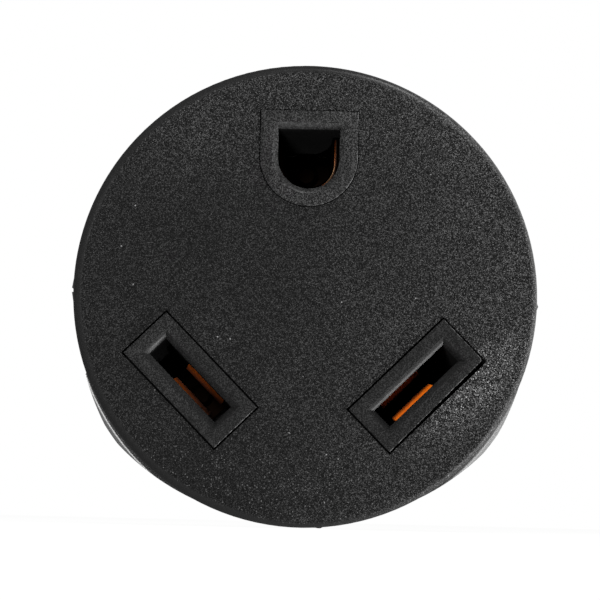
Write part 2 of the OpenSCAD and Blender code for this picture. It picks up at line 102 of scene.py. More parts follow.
# %% Camera
SENSOR_MM = 36.0
CAMERA_DISTANCE_MM = 280
CLIP_START = 10 * MM

place = aim + backward * CAMERA_DISTANCE_MM * MM
camera_data = bpy.data.cameras.new("camera")
camera_data.sensor_width = SENSOR_MM
camera_data.lens = PX_PER_MM * SENSOR_MM * CAMERA_DISTANCE_MM / PICTURE_PX
camera_data.clip_start = CLIP_START
camera = bpy.data.objects.new("camera", camera_data)
camera.matrix_world = Matrix((
    (right.x, up.x, backward.x, place.x),
    (right.y, up.y, backward.y, place.y),
    (right.z, up.z, backward.z, place.z),
    (0, 0, 0, 1),
))
scene.collection.objects.link(camera)
scene.camera = camera
print("lens", round(camera_data.lens, 1), "mm")

# %% [markdown]
# Finishes are easier to read as sums than as long lists of links.
# Term wraps one output socket and overloads the signs, so that 1 - mask adds the right Math node by itself.

# %% A socket that can be used in sums
class Term:
    def __init__(self, recipe, socket):
        self.recipe = recipe
        self.socket = socket

    def math(self, operation, first, second):
        made = self.recipe.node("ShaderNodeMath", {"operation": operation}, {0: first, 1: second})
        return made["Value"]

    def __add__(self, other):
        return self.math("ADD", self, other)

    def __sub__(self, other):
        return self.math("SUBTRACT", self, other)

    def __rsub__(self, other):
        return self.math("SUBTRACT", other, self)

    def __mul__(self, other):
        return self.math("MULTIPLY", self, other)

    def __truediv__(self, other):
        return self.math("DIVIDE", self, other)

    def __rtruediv__(self, other):
        return self.math("DIVIDE", other, self)

    def __pow__(self, other):
        return self.math("POWER", self, other)

    def __rpow__(self, other):
        return self.math("POWER", other, self)

    __radd__ = __add__
    __rmul__ = __mul__


print("signs ready")

# %% [markdown]
# Recipe holds a node tree. Its method node makes any node from its type, its settings and its sockets,
# and the short methods after it name the few things that this object's finishes ask for again and again.
# A ramp is the most used: it turns a depth, a height or a noise into a soft mask from 0 to 1.

# %% A tree that makes nodes
class Recipe:
    def __init__(self, tree):
        self.tree = tree
        self.tree.nodes.clear()

    def node(self, kind, settings=None, sockets=None):
        made = self.tree.nodes.new(kind)
        for name, value in (settings or {}).items():
            setattr(made, name, value)
        for name, value in (sockets or {}).items():
            entry = made.inputs[name] if isinstance(name, int) else self.entry(made, name)
            if isinstance(value, Term):
                self.tree.links.new(value.socket, entry)
            else:
                entry.default_value = value
        return {s.name: Term(self, s) for s in made.outputs if s.enabled}

    def entry(self, made, name):
        return next(s for s in made.inputs if s.name == name and s.enabled)

    def place(self):
        return self.node("ShaderNodeTexCoord")["Object"]

    def facing(self):
        return self.axes(self.node("ShaderNodeNewGeometry")["True Normal"])

    def axes(self, vector):
        split = self.node("ShaderNodeSeparateXYZ", None, {"Vector": vector})
        return split["X"], split["Y"], split["Z"]

    def noise(self, vector, scale, detail, rough):
        sockets = {"Vector": vector, "Scale": scale, "Detail": detail, "Roughness": rough}
        return self.node("ShaderNodeTexNoise", None, sockets)["Fac"]

    def cells(self, vector, scale):
        made = self.node("ShaderNodeTexVoronoi", None, {"Vector": vector, "Scale": scale})
        return made["Distance"], self.axes(made["Color"])[0]

    def stretched(self, vector, scale):
        return self.node("ShaderNodeMapping", None, {"Vector": vector, "Scale": scale})["Vector"]

    def ramp(self, value, low, high, to_low=0.0, to_high=1.0):
        sockets = {"Value": value, "From Min": low, "From Max": high, "To Min": to_low, "To Max": to_high}
        return self.node("ShaderNodeMapRange", {"interpolation_type": "SMOOTHSTEP"}, sockets)["Result"]

    def near(self, value, target, within):
        offset = value - target
        return self.ramp(offset * offset, within * within, 0.0)

    def blend(self, share, first, second):
        sockets = {"Factor": share, "A": first, "B": second}
        return self.node("ShaderNodeMix", {"data_type": "RGBA"}, sockets)["Result"]

    def bump(self, height, strength, distance):
        sockets = {"Height": height, "Strength": strength, "Distance": distance}
        return self.node("ShaderNodeBump", None, sockets)["Normal"]

    def surface(self, sockets):
        shader = self.node("ShaderNodeBsdfPrincipled", None, sockets)["BSDF"]
        self.node("ShaderNodeOutputMaterial", None, {"Surface": shader})


def grey(level):
    return (level, level, level, 1)


def new_finish(name):
    material = bpy.data.materials.new(name)
    material.use_nodes = True
    return material, Recipe(material.node_tree)


print("recipe ready")

# %% [markdown]
# The jacket is soft vinyl from a spark-eroded mould: charcoal, with a grain about a tenth of a millimetre
# across that glitters where a facet faces the lamp. An image texture could hold it, but would need a UV map
# and would show a seam. Noise on Object coordinates has neither, so the finish is built from noise and masks.
# The first masks say where the face ends, where the rim rounds over and where the collar and grip go on.

# %% Vinyl: face, rim and grip
FACE_DEPTH = (-39.2 * MM, -39.8 * MM)
FACE_EDGE = (26.3 * MM, 25.9 * MM)
COLLAR_DEPTH = (-38.6 * MM, -37.4 * MM)
RIGHT_SIDE = (0.0, 20 * MM)
NARROW_RIM = 0.4 * MM
NARROW_RIM_FROM = (4 * MM, 16 * MM)
NARROW_RIM_SLOPE = 0.6

vinyl, r = new_finish("jacket_vinyl")
spot = r.place()
x, y, z = r.axes(spot)
radius = (x * x + z * z) ** 0.5
lower_right = r.ramp(x - z * NARROW_RIM_SLOPE, *NARROW_RIM_FROM)
on_front = r.ramp(y, *FACE_DEPTH)
on_face = on_front * r.ramp(radius - NARROW_RIM * lower_right, *FACE_EDGE)
behind = r.ramp(y, *COLLAR_DEPTH)
to_right = r.ramp(x, *RIGHT_SIDE)
print("face, rim and grip told apart")

# %% [markdown]
# The grain isn't equally strong all over. It stands up most beside the right slot, with a painted highlight
# there, and grows towards the right and the top, which makes the face lighter there as painted light. It
# fades in worn patches and on the polished rim, and grows on the rim's right side, again as painted light.
# All of that is gathered in one amount, which drives the tone, the shine and the bump alike.

# %% Vinyl: how strong the grain and the painted light are
SLANT = math.sqrt(0.5)
LEAN_X = 0.95
LEAN_Z = 0.3
LEAN_FROM = (-6 * MM, 32 * MM)
PATCHES = (95.0, 2.0, 0.55)
SLOT_HIGHLIGHT_ALONG = 6.8 * MM
SLOT_HIGHLIGHT_ACROSS = 21.2 * MM
SLOT_HIGHLIGHT_STRETCH = 2.4
SLOT_HIGHLIGHT_REACH = (4.5 * MM, 0.5 * MM)
TOP_HEIGHT = (8 * MM, 24 * MM)
LEAST_GRAIN = 0.1
LEAN_GRAIN_AND_LIGHT = 0.35
PATCH_GRAIN = 0.15
SLOT_HIGHLIGHT_WEIGHT = 0.5
TOP_GRAIN_AND_LIGHT = 0.2
RIM_GRAIN = 0.04
RIGHT_RIM_GRAIN_AND_LIGHT = 0.75
GRIP_GRAIN = 0.55

# Painted light: lighter towards the lower right and the top, with a painted highlight beside the right slot.
lean = r.ramp(x * LEAN_X - z * LEAN_Z, *LEAN_FROM)
patches = r.noise(spot, *PATCHES)
along = ((x + z) * SLANT - SLOT_HIGHLIGHT_ALONG) / SLOT_HIGHLIGHT_STRETCH
across = (x - z) * SLANT - SLOT_HIGHLIGHT_ACROSS
slot_highlight = r.ramp((along * along + across * across) ** 0.5, *SLOT_HIGHLIGHT_REACH)
top = r.ramp(z, *TOP_HEIGHT)
face_grain_and_light = LEAST_GRAIN + LEAN_GRAIN_AND_LIGHT * lean + PATCH_GRAIN * patches + SLOT_HIGHLIGHT_WEIGHT * slot_highlight + TOP_GRAIN_AND_LIGHT * top
# Painted light: more of the lighter grain on the rim's right side.
rim_grain_and_light = RIM_GRAIN + RIGHT_RIM_GRAIN_AND_LIGHT * to_right
off_face = (1 - behind) * rim_grain_and_light + GRIP_GRAIN * behind
amount = on_face * face_grain_and_light + (1 - on_face) * off_face
print("grain strength ready")

# %% [markdown]
# The grain itself is a pattern of small cells with a fine noise over it. Every cell has a random number,
# and raising that to the fourth power leaves only a few lighter facets: partly the grain's own tone, partly
# painted glitter of facets that catch the lamp, which thins out low on the face. Specks and sparser cells add
# painted glints, most of them beside the right slot and low on the face, and large cells drop a few motes of
# dust.

# %% Vinyl: grain, painted glints and dust
PEBBLE_SCALE = 11000.0
PEBBLE_DEPTH = 0.5
FINE_GRAIN = (9000.0, 0.0, 0.5)
FACET_POWER = 4.0
FOOT_HEIGHT = (-12 * MM, -22 * MM)
FOOT_DULLER = 0.25
SPARKLE_SPECKS = (3200.0, 1.0, 0.5)
SPARKLE_SPECK_FROM = (0.72, 0.78)
GLINT_SCALE = 3600.0
GLINT_SIZE = (0.34, 0.14)
GLINT_CHANCE = (0.6, 0.75)
LEAST_GLITTER = 0.05
FOOT_GLITTER = 0.14
DUST_SCALE = 700.0
DUST_SIZE = (0.075, 0.04)
DUST_CHANCE = (0.88, 0.9)

pebble, facet = r.cells(spot, PEBBLE_SCALE)
grain = r.noise(spot, *FINE_GRAIN) - pebble * PEBBLE_DEPTH
foot = r.ramp(z, *FOOT_HEIGHT)
# Painted glitter on the facets, and painted glints in specks and cells, weighted by the painted light above.
crests = facet ** FACET_POWER * amount * (1 - FOOT_DULLER * foot)
sparkle_specks = r.ramp(r.noise(spot, *SPARKLE_SPECKS), *SPARKLE_SPECK_FROM) * (amount + slot_highlight)
glint, chance = r.cells(spot, GLINT_SCALE)
glitter = LEAST_GLITTER + FOOT_GLITTER * foot + slot_highlight
glints = r.ramp(glint, *GLINT_SIZE) * r.ramp(chance, *GLINT_CHANCE) * glitter * on_face
mote, pick = r.cells(spot, DUST_SCALE)
dust = r.ramp(mote, *DUST_SIZE) * r.ramp(pick, *DUST_CHANCE) * on_front
print("grain, glints and dust ready")

# %% [markdown]
# Behind the collar, the two lower lips of the grip get a painted highlight along their rounded front edge.
# The lips stand further from the axis than the collar does, so depth, height and radius pick them out.
# The left one is palest at its root and the right one at its outer edge.

# %% Vinyl: painted highlight on the lips
MIDDLE = (-5 * MM, 5 * MM)
LIP_FRONT = (-30.2 * MM, -30.7 * MM)
LOWER_HALF = (2 * MM, -2 * MM)
RIGHT_LIP_RADIUS = (27.2 * MM, 27.4 * MM)
RIGHT_LIP_SPAN = (27.3 * MM, 27.8 * MM)
RIGHT_LIP_HIGHLIGHT = (grey(0.02), grey(0.12))
LEFT_LIP_RADIUS = (27.42 * MM, 27.58 * MM)
LEFT_LIP_SPAN = (27.5 * MM, 27.7 * MM)
LEFT_LIP_HIGHLIGHT = (grey(0.5), grey(0.08))

right_half = r.ramp(x, *MIDDLE)
lip_edge = r.ramp(y, *LIP_FRONT) * r.ramp(z, *LOWER_HALF)
right_lip = right_half * r.ramp(radius, *RIGHT_LIP_RADIUS)
left_lip = (1 - right_half) * r.ramp(radius, *LEFT_LIP_RADIUS)
lips = lip_edge * (right_lip + left_lip)
right_lip_highlight = r.blend(r.ramp(radius, *RIGHT_LIP_SPAN), *RIGHT_LIP_HIGHLIGHT)
left_lip_highlight = r.blend(r.ramp(radius, *LEFT_LIP_SPAN), *LEFT_LIP_HIGHLIGHT)
lip_highlight = r.blend(right_half, left_lip_highlight, right_lip_highlight)
print("pale lips ready")

# %% [markdown]
# The layers meet in one Principled shader. The plain tone comes first, with the rim darker on its left and
# lighter on its right as painted light, and each mask lays a lighter one over it, painted glitter, glints and
# the painted highlight on the lips among them. A coat gives the rim and the collar the gloss of a polished
# mould, and the face has none.

# %% Vinyl: surface
FACE_TONE = grey(0.001)
GRIP_TONE = grey(0.014)
RIM_LIT_TONES = (grey(0.005), grey(0.016))
RIGHT_RIM = (12 * MM, 24 * MM)
CREST_TONE = grey(0.11)
SPARKLE_SPECK_TONE = grey(0.16)
SPARKLE_SPECK_SHARE = 0.5
GLINT_TONE = grey(0.2)
DUST_TONE = grey(0.1)
LIP_PLAIN = 0.6
LIP_FACETS = 0.4
VINYL_ROUGHNESS = 0.8
CREST_SHINE = 0.3
GRAIN_DEPTH = 0.12 * MM
RIM_GLOSS = 0.03
RIGHT_GLOSS = 0.5
RIGHT_GLOSS_HEIGHT = (-12 * MM, 0.0)
GRIP_GLOSS = 0.15

# Painted light: the rim is darker on the left and lighter on the right.
rim_lit_tone = r.blend(r.ramp(x, *RIGHT_RIM), *RIM_LIT_TONES)
tone = r.blend(on_face, r.blend(behind, rim_lit_tone, GRIP_TONE), FACE_TONE)
tone = r.blend(crests, tone, CREST_TONE)
tone = r.blend(sparkle_specks * SPARKLE_SPECK_SHARE, tone, SPARKLE_SPECK_TONE)
tone = r.blend(glints, tone, GLINT_TONE)
tone = r.blend(dust, tone, DUST_TONE)
tone = r.blend(lips * (LIP_PLAIN + LIP_FACETS * facet), tone, lip_highlight)
gloss = RIM_GLOSS + RIGHT_GLOSS * to_right * r.ramp(z, *RIGHT_GLOSS_HEIGHT)
r.surface({
    "Base Color": tone,
    "Roughness": VINYL_ROUGHNESS - crests * CREST_SHINE,
    "Normal": r.bump(grain * amount, 1.0, GRAIN_DEPTH),
    "Specular IOR Level": 0.05,
    "Coat Weight": (1 - on_face) * (gloss * (1 - behind) + GRIP_GLOSS * behind),
    "Coat Roughness": 0.3,
})
print("vinyl ready")

# %% [markdown]
# The contact carrier is a harder plastic. Its three lands were wiped against the mould, so they carry
# a finer and flatter grain than the jacket, with faint streaks along each land.
# The land round the ground opening is the lightest, and the walls below the lands get a painted shade, nearly
# black.

# %% Carrier: grain of the lands
LAND_DEPTH = (-39.2 * MM, -39.6 * MM)
LAND_GRAIN = (6900.0, 2.0, 0.6)
LAND_STREAKS = (2600.0, 2.0, 0.5)
STREAKS_ALONG = (1.0, 0.2, 0.25)
LAND_CLOUD = (160.0, 2.0, 0.5)
GRAIN_PART = 0.85
STREAK_PART = 0.15
LAND_CRESTS = (0.44, 0.64)
CARRIER_MIDDLE = (-1 * MM, 1 * MM)
GROUND_HEIGHT = (0.0, 12 * MM)
GROUND_LEFT = (-6 * MM, -2 * MM, 0.45, 1.0)
LEFT_LAND_FROM = (-10 * MM, -3 * MM)
LEFT_LAND_TO = (0.0, -1 * MM)

carrier_plastic, r = new_finish("carrier_plastic")
spot = r.place()
x, y, z = r.axes(spot)
fine = r.noise(spot, *LAND_GRAIN)
streaks = r.noise(r.stretched(spot, STREAKS_ALONG), *LAND_STREAKS)
cloud = r.noise(spot, *LAND_CLOUD)
on_land = r.ramp(y, *LAND_DEPTH)
crests = r.ramp(fine * GRAIN_PART + streaks * STREAK_PART, *LAND_CRESTS)
right_half = r.ramp(x, *CARRIER_MIDDLE)
ground_land = r.ramp(z, *GROUND_HEIGHT) * r.ramp(x, *GROUND_LEFT)
left_land_top = (1 - right_half) * r.ramp(z, *LEFT_LAND_FROM) * r.ramp(z, *LEFT_LAND_TO)
print("grain of the lands ready")

# %% [markdown]
# Plugs have slid into the openings many times. The sloped lead-ins are polished on the sides that a plug
# meets, and the other lead-ins are darkened as painted shade. One side of the ground opening and the outer
# edges of the lands get a painted highlight.
# A mask could be drawn round each opening, but the true normal already tells a slope from a flat land.

# %% Carrier: lead-ins, painted shade and painted highlights
LEAD_IN_FACING = (-0.707, 0.1)
OUTER_ROUND_FACING = (-0.924, 0.08)
INNER_ROUND_FACING = (-0.383, 0.15)
LAND_EDGE_DEPTH = (-40.1 * MM, -40.15 * MM)
EDGE_TURNED = (-0.05, 0.2)
LOOKS_DOWN = (0.1, -0.1)
LOOKS_RIGHT = (0.1, 0.4)
LOOKS_UP = (0.2, 0.5)
AROUND_GROUND = (0.0, 5 * MM)
GROUND_FOOT_DULL = 0.6
LEFT_SLOT_POLISH = (-12 * MM, -8 * MM, 0.6, 1.0)
GROUND_SIDE_TURNED = (0.6, 0.7)
GROUND_SIDE_GRAIN = (0.45, 0.6)

turned, facing, lifted = r.facing()
downward = r.ramp(lifted, *LOOKS_DOWN)
edge = r.near(facing, *OUTER_ROUND_FACING) + r.near(facing, *INNER_ROUND_FACING)
edge = edge * r.ramp(y, *LAND_EDGE_DEPTH) * r.ramp(turned, *EDGE_TURNED)
edge = edge * (right_half + (1 - right_half) * downward)
lead_in = r.near(facing, *LEAD_IN_FACING) * on_land
around_ground = r.ramp(z, *AROUND_GROUND)
met_by_plug = r.ramp(turned, *LOOKS_RIGHT) * downward + around_ground
polished = lead_in * r.ramp(met_by_plug, 0.0, 1.0) * r.ramp(x, *LEFT_SLOT_POLISH)
polished = polished * (1 - GROUND_FOOT_DULL * around_ground * r.ramp(lifted, *LOOKS_UP))
ground_side_highlight = lead_in * around_ground * r.ramp(turned, *GROUND_SIDE_TURNED) * r.ramp(fine, *GROUND_SIDE_GRAIN)
print("lead-ins and edges ready")

# %% [markdown]
# As with the vinyl, the tones are laid over each other from dark to light.
# The polished lead-ins get a thin coat, and their grain is nearly flat, so the bump fades there as well.

# %% Carrier: surface
LAND_TONES = (grey(0.002), grey(0.033))
WALL_SHADE_TONES = (grey(0.0004), grey(0.0012))
WALL_CLOUD = 0.6
LEAST_SHARE = 0.45
GROUND_SHARE = 0.65
LEFT_LAND_SHARE = 0.28
CLOUD_LEAST = 0.4
CLOUD_MORE = 0.6
SHADED_LEAD_IN_TONE = grey(0.001)
SHADED_LEAD_IN_SHARE = 0.5
EDGE_HIGHLIGHT_TONE = grey(0.06)
EDGE_STREAKS = (0.4, 0.62)
GROUND_SIDE_HIGHLIGHT_TONE = grey(0.03)
LAND_ROUGHNESS = 0.72
CLOUD_ROUGHNESS = 0.1
POLISH_SHINE = 0.3
WALL_ROUGHNESS = 0.2
BUMP_GRAIN = 0.6
BUMP_STREAKS = 0.4
LEAD_IN_FLATTER = 0.85
LAND_GRAIN_DEPTH = 0.1 * MM
POLISH_COAT = 0.35

share = LEAST_SHARE + GROUND_SHARE * ground_land + LEFT_LAND_SHARE * left_land_top
land_tone = r.blend(crests * (CLOUD_LEAST + CLOUD_MORE * cloud) * share, *LAND_TONES)
# Painted shade: the walls below the lands.
wall_shade = r.blend(cloud * WALL_CLOUD, *WALL_SHADE_TONES)
tone = r.blend(on_land, wall_shade, land_tone)
# Painted shade on the lead-ins that aren't polished, a painted highlight on the land edges and on one side of
# the ground opening.
tone = r.blend((lead_in - polished) * SHADED_LEAD_IN_SHARE, tone, SHADED_LEAD_IN_TONE)
tone = r.blend(edge * r.ramp(streaks, *EDGE_STREAKS), tone, EDGE_HIGHLIGHT_TONE)
tone = r.blend(ground_side_highlight, tone, GROUND_SIDE_HIGHLIGHT_TONE)
roughness = LAND_ROUGHNESS + CLOUD_ROUGHNESS * cloud - POLISH_SHINE * polished
relief = (fine * BUMP_GRAIN + streaks * BUMP_STREAKS) * (1 - LEAD_IN_FLATTER * lead_in)
r.surface({
    "Base Color": tone,
    "Roughness": roughness + WALL_ROUGHNESS * (1 - on_land),
    "Normal": r.bump(relief, 1.0, LAND_GRAIN_DEPTH),
    "Specular IOR Level": 0.06,
    "Coat Weight": polished * POLISH_COAT,
    "Coat Roughness": 0.35,
})
print("carrier plastic ready")

# %% [markdown]
# The hidden plastics need less: the dark brown insulating cover behind the carrier, and the black bridge
# that holds the prongs. One function makes both, because only their tones and the size of their grain differ.

# %% Plain plastics
PLAIN_CLOUD = (120.0, 2.0, 0.5)
PLAIN_DETAIL = 2.0
PLAIN_ROUGH = 0.55
PLAIN_MIX = (0.7, 0.3)
PLAIN_CONTRAST = (0.35, 0.65)
PLAIN_ROUGHNESS = 0.5
PLAIN_CLOUD_ROUGHNESS = 0.12
PLAIN_BUMP = (0.3, 0.05 * MM)


def moulded(name, dark, light, grain_scale):
    material, r = new_finish(name)
    spot = r.place()
    grain = r.noise(spot, grain_scale, PLAIN_DETAIL, PLAIN_ROUGH)
    cloud = r.noise(spot, *PLAIN_CLOUD)
    mixed = grain * PLAIN_MIX[0] + cloud * PLAIN_MIX[1]
    r.surface({
        "Base Color": r.blend(r.ramp(mixed, *PLAIN_CONTRAST), dark, light),
        "Roughness": PLAIN_ROUGHNESS + PLAIN_CLOUD_ROUGHNESS * cloud,
        "Normal": r.bump(grain, *PLAIN_BUMP),
        "Specular IOR Level": 0.45,
    })
    return material


cover_plastic = moulded("cover_plastic", (0.016, 0.012, 0.008, 1), (0.03, 0.022, 0.015, 1), 2600.0)
bridge_plastic = moulded("bridge_plastic", grey(0.012), grey(0.026), 3600.0)
print("plain plastics ready")

# %% [markdown]
# The contacts are bright metal, but most of each leaf is darkened with painted shade: most of all in the
# chamber, much on the curved ground leaves, less on the leaves of the two slots, and on the faces that look
# straight out of the openings. The front edge of the right ground leaf gets a painted highlight. Each leaf
# could have a material of its own, but they are all the same sheet, so they share one and masks on Object
# coordinates tell the places apart.

# %% Metals: places of painted shade and highlight
SOCKET_DEPTH = (-20 * MM, -22 * MM)
CHAMBER_FRONT = (-33.8 * MM, -30 * MM)
CHAMBER_BACK = (0.0, -2 * MM)
TO_TOP = (0.0, 1 * MM)
TO_LEFT = (0.0, -1 * MM)
TO_RIGHT = (0.0, 1 * MM)
LEFT_INNER_LEAF = (-16.8 * MM, -16.2 * MM)
RIGHT_INNER_LEAF = (16.8 * MM, 16.2 * MM)
LEFT_FADES = (-4 * MM, 2.5 * MM)
LEFT_DARK = 0.77
LEFT_INNER_LIGHTER = 0.1
LEFT_FADES_BY = 0.23
FRONT_FACE_FACING = (-0.8, -0.95)
FRONT_FACE_DEPTH = (-1 * MM, -2 * MM)
LEAF_HIGHLIGHT_TURNED = (-0.05, -0.2)
LEAF_HIGHLIGHT_FACING = (-0.85, 0.09)
LEAF_HIGHLIGHT_TOP = (18.5 * MM, 14.8 * MM, 0.08, 1.0)
LEAF_HIGHLIGHT_FOOT = (13.2 * MM, 14 * MM)


def leaf_places(r, spot):
    side, depth, height = r.axes(spot)
    turned, facing, _ = r.facing()
    in_socket = r.ramp(depth, *SOCKET_DEPTH)
    on_right = r.ramp(side, *TO_RIGHT)
    to_lower_right = (side - height) * SLANT
    ground = r.ramp(height, *TO_TOP) * in_socket
    slots = (1 - ground) * in_socket
    left_dark = LEFT_DARK - LEFT_INNER_LIGHTER * r.ramp((side + height) * SLANT, *LEFT_INNER_LEAF)
    left_dark = left_dark + LEFT_FADES_BY * r.ramp(to_lower_right, *LEFT_FADES)
    highlighted = on_right * r.ramp(turned, *LEAF_HIGHLIGHT_TURNED) * r.near(facing, *LEAF_HIGHLIGHT_FACING)
    # Masks for painted shade, and one for the painted highlight on the right ground leaf's front edge.
    return {
        "chamber": r.ramp(depth, *CHAMBER_FRONT) * r.ramp(depth, *CHAMBER_BACK),
        "ground": ground,
        "slots": slots,
        "left leaves": r.ramp(side, *TO_LEFT) * slots * left_dark,
        "right inner leaf": on_right * slots * r.ramp(to_lower_right, *RIGHT_INNER_LEAF),
        "front_shade": r.ramp(facing, *FRONT_FACE_FACING) * r.ramp(depth, *FRONT_FACE_DEPTH),
        "highlighted": highlighted * r.ramp(height, *LEAF_HIGHLIGHT_TOP) * r.ramp(height, *LEAF_HIGHLIGHT_FOOT),
    }


print("dark and bare places ready")

# %% [markdown]
# The metals are rolled sheet and turned rod. Rolling leaves fine lines, handling leaves dull patches.
# The lines are noise squeezed along one direction, so each metal names the way it was rolled.
# The tones are laid on in this order: rolling and spots, then painted shade on the faces that look out,
# a painted highlight on the right ground leaf's edge, and painted shade on the leaves and in the chamber.

# %% Metals: tones and surface
ROLL_LINES = (900.0, 3.0, 0.6)
PATINA = (210.0, 3.0, 0.55)
PATINA_FROM = (0.42, 0.72)
PATINA_SHARE = 0.75
SPOTS = (1700.0, 2.0, 0.5)
SPOTS_FROM = (0.45, 0.65)
SPOT_SHARE = 0.35
SPOT_TONE = (0.2, 0.04, 0.004, 1)
FRONT_FACE_SHADE_SHARE = 0.85
FRONT_FACE_SHADE = (0.03, 0.012, 0.005, 1)
LEAF_HIGHLIGHT_TONE = (0.3, 0.18, 0.1, 1)
GROUND_LEAF_SHADE = (0.003, 0.0015, 0.001, 1)
DARK_SHARE = 0.95
LEFT_LEAF_SHADE = (0.012, 0.005, 0.002, 1)
RIGHT_INNER_SHADE = (0.035, 0.022, 0.014, 1)
CHAMBER_SHADE = (0.0015, 0.0008, 0.0005, 1)
PATINA_ROUGHNESS = 0.18
LINE_ROUGHNESS = 0.1
CHAMBER_ROUGHNESS = 0.3
LINE_BUMP = (0.25, 0.02 * MM)


def rolled(name, bright, dull, lines, roughness, metal=1.0):
    material, r = new_finish(name)
    spot = r.place()
    grooves = r.noise(r.stretched(spot, lines), *ROLL_LINES)
    patina = r.ramp(r.noise(spot, *PATINA), *PATINA_FROM)
    at = leaf_places(r, spot)
    spots = r.ramp(r.noise(spot, *SPOTS), *SPOTS_FROM) * at["slots"]
    tone = r.blend(patina * PATINA_SHARE, bright, dull)
    tone = r.blend(spots * SPOT_SHARE, tone, SPOT_TONE)
    # Painted shade on front faces, a painted highlight on the right ground leaf, painted shade on the leaves.
    tone = r.blend(at["front_shade"] * FRONT_FACE_SHADE_SHARE, tone, FRONT_FACE_SHADE)
    tone = r.blend(at["highlighted"], tone, LEAF_HIGHLIGHT_TONE)
    tone = r.blend(at["ground"] * (1 - at["highlighted"]), tone, GROUND_LEAF_SHADE)
    tone = r.blend(at["left leaves"] * DARK_SHARE, tone, LEFT_LEAF_SHADE)
    tone = r.blend(at["right inner leaf"] * DARK_SHARE, tone, RIGHT_INNER_SHADE)
    rough = roughness + PATINA_ROUGHNESS * patina + LINE_ROUGHNESS * grooves
    metallic = 1.0
    if metal < 1.0:
        metallic = metal + (1 - metal) * r.ramp(at["ground"] + at["chamber"], 0.0, 1.0)
    # The chamber gets a painted shade.
    r.surface({
        "Base Color": r.blend(at["chamber"], tone, CHAMBER_SHADE),
        "Metallic": metallic,
        "Roughness": rough + CHAMBER_ROUGHNESS * at["chamber"],
        "Normal": r.bump(grooves, *LINE_BUMP),
    })
    return material


SHEET_LINES = (9.0, 0.7, 9.0)
PRONG_LINES = (1.0, 6.0, 6.0)
RIVET_LINES = (3.0, 3.0, 3.0)
contact_copper = rolled("contact_copper", (1.0, 0.2, 0.005, 1), (0.8, 0.14, 0.004, 1), SHEET_LINES, 0.3, 0.2)
strap_brass = rolled("strap_brass", (0.78, 0.56, 0.25, 1), (0.5, 0.36, 0.17, 1), SHEET_LINES, 0.34)
prong_brass = rolled("prong_brass", (0.83, 0.64, 0.33, 1), (0.66, 0.49, 0.24, 1), PRONG_LINES, 0.22)
rivet_brass = rolled("rivet_brass", (0.8, 0.66, 0.4, 1), (0.6, 0.48, 0.28, 1), RIVET_LINES, 0.3)
print("metals ready")

# %% [markdown]
# Every new piece ends in the same way: its bmesh becomes an object at the origin, takes the finish of
# a CAD node's material slot and rides on that node's body. The record says which body and slot each node has.

# %% From a bmesh to a piece
body_of = {n: b for b, ns in frame["record"]["behaviour"]["bodies"].items() for n in ns}
slot_of = {s["node"]: s["material_slot"] for s in frame["record"]["subparts"]}
finish_of = {
    "jacket_vinyl": vinyl,
    "carrier_plastic": carrier_plastic,
    "cover_plastic": cover_plastic,
    "bridge_plastic": bridge_plastic,
    "contact_copper": contact_copper,
    "strap_brass": strap_brass,
    "prong_brass": prong_brass,
    "rivet_brass": rivet_brass,
}


def finished(form, name, node):
    mesh = bpy.data.meshes.new(name)
    form.to_mesh(mesh)
    form.free()
    mesh.materials.append(finish_of[slot_of[node]])
    piece = bpy.data.objects.new(name, mesh)
    scene.collection.objects.link(piece)
    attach(piece, body_of[node])
    return piece


print("slots", sorted(set(slot_of.values())))

# %% [markdown]
# CAD edges are perfectly sharp, and a perfectly sharp edge never catches the light.
# A Bevel modifier would round them live, but a merged copy with the bevel worked in keeps control of which
# edges are rounded. The copy stands in for its node, rides on the same body and takes the same material slot.

# %% Rounded copies
MERGE_WITHIN = 1e-6
FLAT_WITHIN = math.radians(0.2)
SHARP_FROM = math.radians(30)
SHADE_SHARP_FROM = math.radians(35)
ROUNDING_STEPS = 2


def rounded(node, width, chosen=None, shape=None):
    form = bmesh.new()
    form.from_mesh(frame["nodes"][node].data)
    bmesh.ops.remove_doubles(form, verts=form.verts, dist=MERGE_WITHIN)
    bmesh.ops.dissolve_limit(form, angle_limit=FLAT_WITHIN, verts=form.verts, edges=form.edges)
    if shape:
        shape(form)
    edges = [e for e in form.edges if len(e.link_faces) == 2 and e.calc_face_angle() > SHARP_FROM]
    if chosen:
        edges = [e for e in edges if chosen(e)]
    bmesh.ops.bevel(
        form, geom=edges, offset=width, offset_type="OFFSET", segments=ROUNDING_STEPS, profile=0.5,
        affect="EDGES", material=-1, clamp_overlap=False,
    )
    piece = finished(form, node + "_rounded", node)
    piece.data.shade_smooth()
    piece.data.set_sharp_from_angle(angle=SHADE_SHARP_FROM)
    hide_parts(node)
    print(piece.name, len(edges), "edges rounded", len(piece.data.polygons), "faces")


print("rounding in", ROUNDING_STEPS, "steps")

# %% [markdown]
# The stamped prongs and leaves are rounded all round, as tumbling leaves them. On the ground leaves only
# the front edges show, and on the bridge only the face round the prongs, so the rest of those stays as it is.

# %% Prongs, leaves and bridge
PRONG_ROUNDING = 0.12 * MM
LEAF_ROUNDING = 0.06 * MM
GROUND_LEAF_ROUNDING = 0.1 * MM
BRIDGE_ROUNDING = 0.15 * MM
LEAF_FRONT = -34 * MM
BRIDGE_BACK = -1 * MM


def furthest_back(edge):
    return max(v.co.y for v in edge.verts)


for blade in ("line_blade", "neutral_blade"):
    rounded(blade, PRONG_ROUNDING)
for leaf in ("line_leaf_inner", "line_leaf_outer", "neutral_leaf_inner", "neutral_leaf_outer"):
    rounded(leaf, LEAF_ROUNDING)
for leaf in ("ground_leaf_left", "ground_leaf_right"):
    rounded(leaf, GROUND_LEAF_ROUNDING, lambda edge: furthest_back(edge) < LEAF_FRONT)
rounded("plug_bridge", BRIDGE_ROUNDING, lambda edge: furthest_back(edge) > BRIDGE_BACK)

